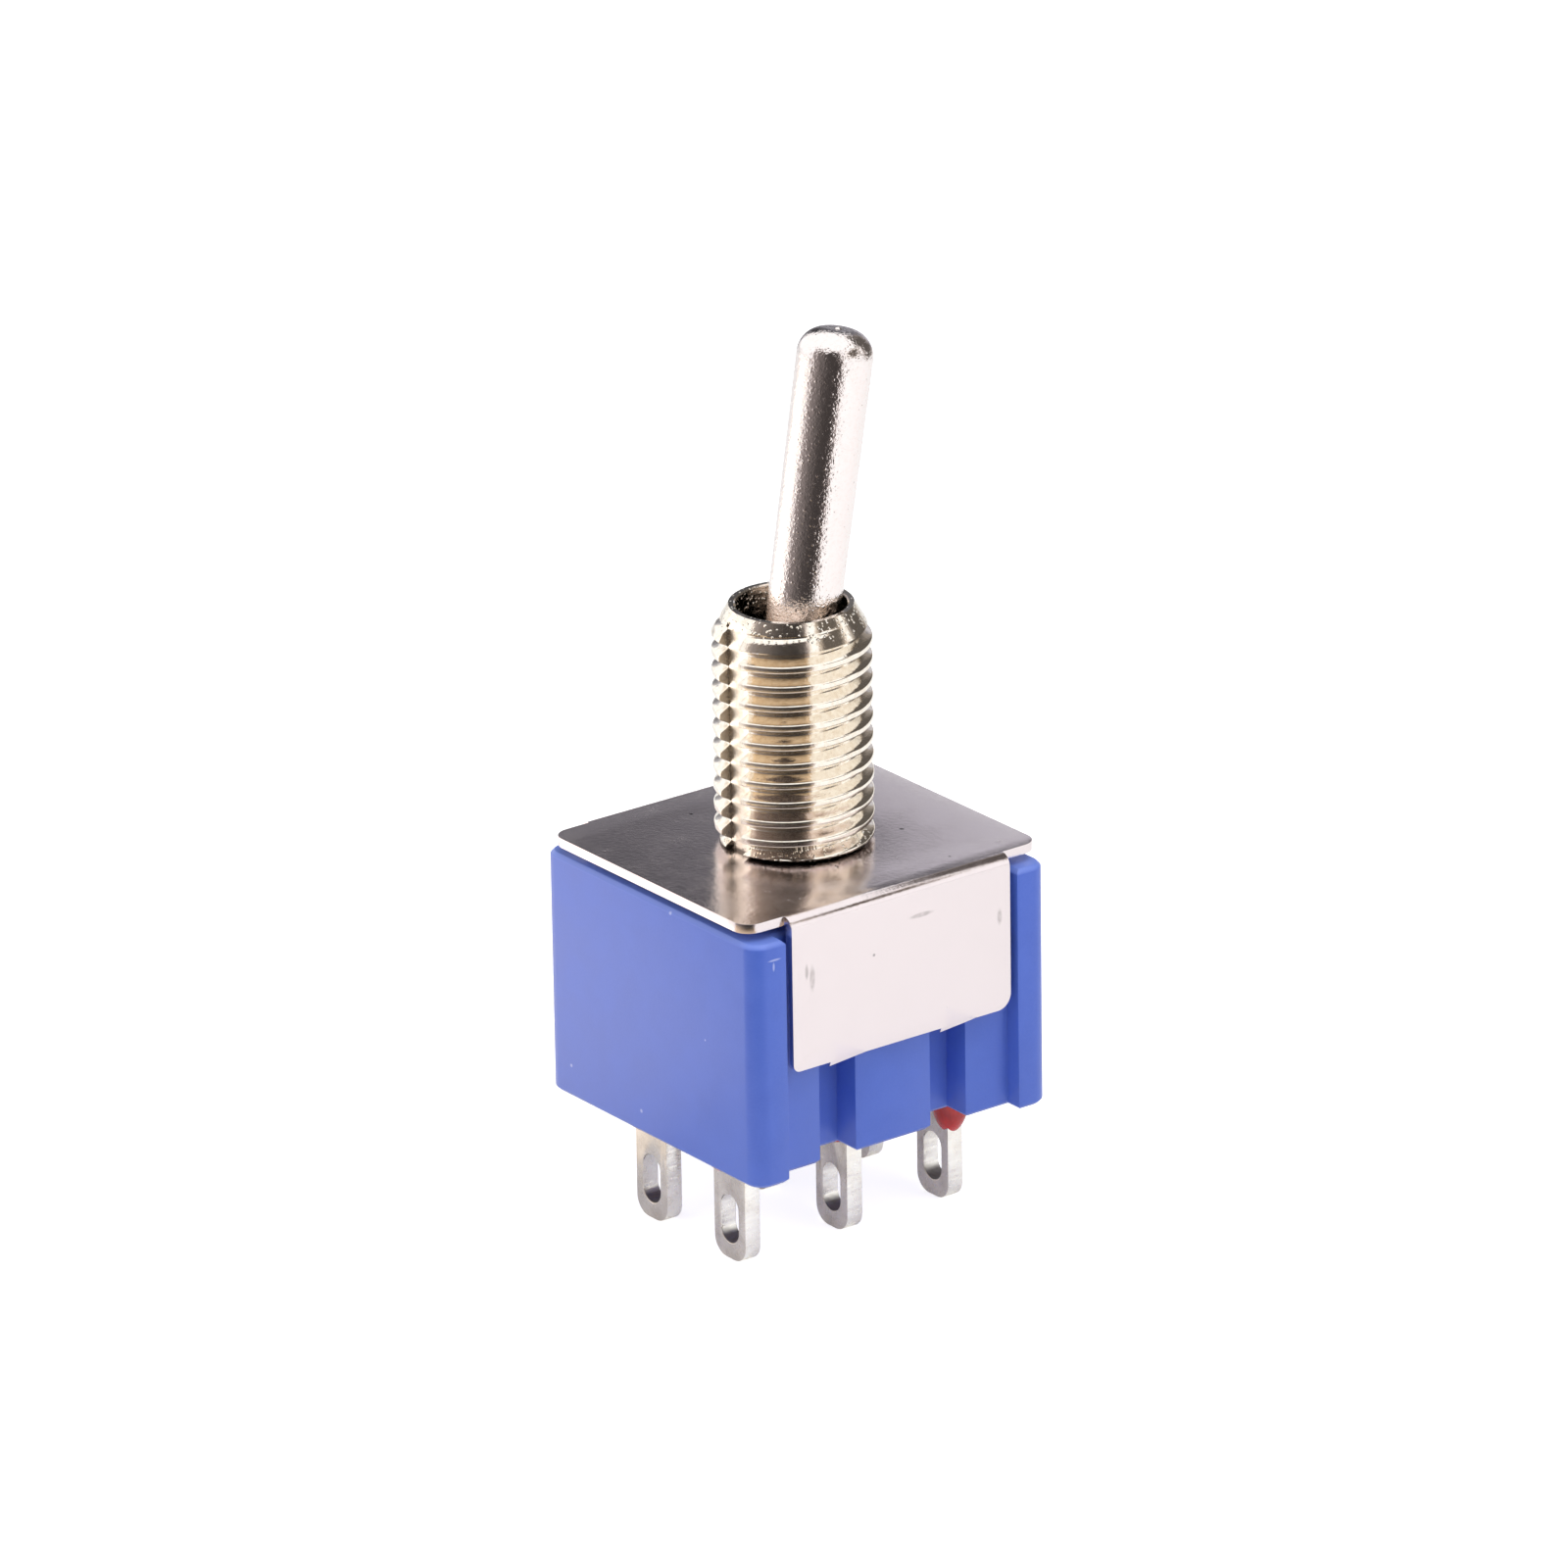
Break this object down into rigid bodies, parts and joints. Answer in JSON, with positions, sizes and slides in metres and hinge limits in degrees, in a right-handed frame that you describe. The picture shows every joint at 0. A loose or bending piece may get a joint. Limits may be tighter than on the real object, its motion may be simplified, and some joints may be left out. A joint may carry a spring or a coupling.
{
  "type": "panel toggle switch",
  "caption": "Miniature panel toggle switch: blue moulded body, folded metal frame plate, keyed threaded bushing, round metal lever and slotted solder lugs sealed with red epoxy.",
  "frame": {"origin": "bushing axis at the top face of the frame plate, which is the face that seats behind the panel", "axes": "+Z along the bushing, out of the panel; +X the way the lever leans at rest; the lever swings in XZ and the two poles lie side by side along Y"},
  "size_m": [0.0136, 0.013, 0.034],
  "materials": {
    "housing_blue": "moulded, satin",
    "plate_steel": "nickel plated sheet",
    "bushing_nickel": "nickel plated brass",
    "lever_nickel": "nickel plated brass",
    "inner_plastic": "moulded",
    "plunger_plastic": "moulded",
    "spring_steel": "drawn wire",
    "contact_metal": "silver plated copper alloy",
    "lug_metal": "tin plated brass strip",
    "seal_epoxy": "cured epoxy, glossy"
  },
  "bodies": {
    "base": {"housing": "housing_blue", "frame_plate": "plate_steel", "bushing": "bushing_nickel", "common_terminal_front": "lug_metal", "common_terminal_rear": "lug_metal", "end_terminal_left_front": "lug_metal", "end_terminal_left_rear": "lug_metal", "end_terminal_right_front": "lug_metal", "end_terminal_right_rear": "lug_metal", "terminal_seal_left_front": "seal_epoxy", "terminal_seal_middle_front": "seal_epoxy", "terminal_seal_right_front": "seal_epoxy", "terminal_seal_left_rear": "seal_epoxy", "terminal_seal_middle_rear": "seal_epoxy", "terminal_seal_right_rear": "seal_epoxy"},
    "lever_arm": {"lever": "lever_nickel", "carrier": "inner_plastic", "spring_front": "spring_steel", "spring_rear": "spring_steel"},
    "plunger_front_body": {"plunger_front": "plunger_plastic"},
    "plunger_rear_body": {"plunger_rear": "plunger_plastic"},
    "rocker_front_body": {"rocker_front": "contact_metal"},
    "rocker_rear_body": {"rocker_rear": "contact_metal"}
  },
  "joints": [
    {"name": "lever_toggle", "type": "hinge", "parent": "base", "child": "lever_arm", "pos_m": [0, 0, 0.0055], "axis": [0, 1, 0], "range_deg": [-19.2, 0]},
    {"name": "plunger_front_slide", "type": "slide", "parent": "lever_arm", "child": "plunger_front_body", "axis": [0.1668, 0, 0.986], "range_m": [0, 0.00035], "stiffness_N_per_m": 100, "deforming": ["spring_front"]},
    {"name": "plunger_rear_slide", "type": "slide", "parent": "lever_arm", "child": "plunger_rear_body", "axis": [0.1668, 0, 0.986], "range_m": [0, 0.00035], "stiffness_N_per_m": 100, "deforming": ["spring_rear"]},
    {"name": "rocker_front_tilt", "type": "hinge", "parent": "base", "child": "rocker_front_body", "pos_m": [0, -0.0024, -0.00765], "axis": [0, 1, 0], "range_deg": [0, 16]},
    {"name": "rocker_rear_tilt", "type": "hinge", "parent": "base", "child": "rocker_rear_body", "pos_m": [0, 0.0024, -0.00765], "axis": [0, 1, 0], "range_deg": [0, 16]}
  ],
  "couplings": [
    {"joint": "rocker_front_tilt", "follows": "lever_toggle", "ratio": -0.8333},
    {"joint": "rocker_rear_tilt", "follows": "lever_toggle", "ratio": -0.8333}
  ]
}
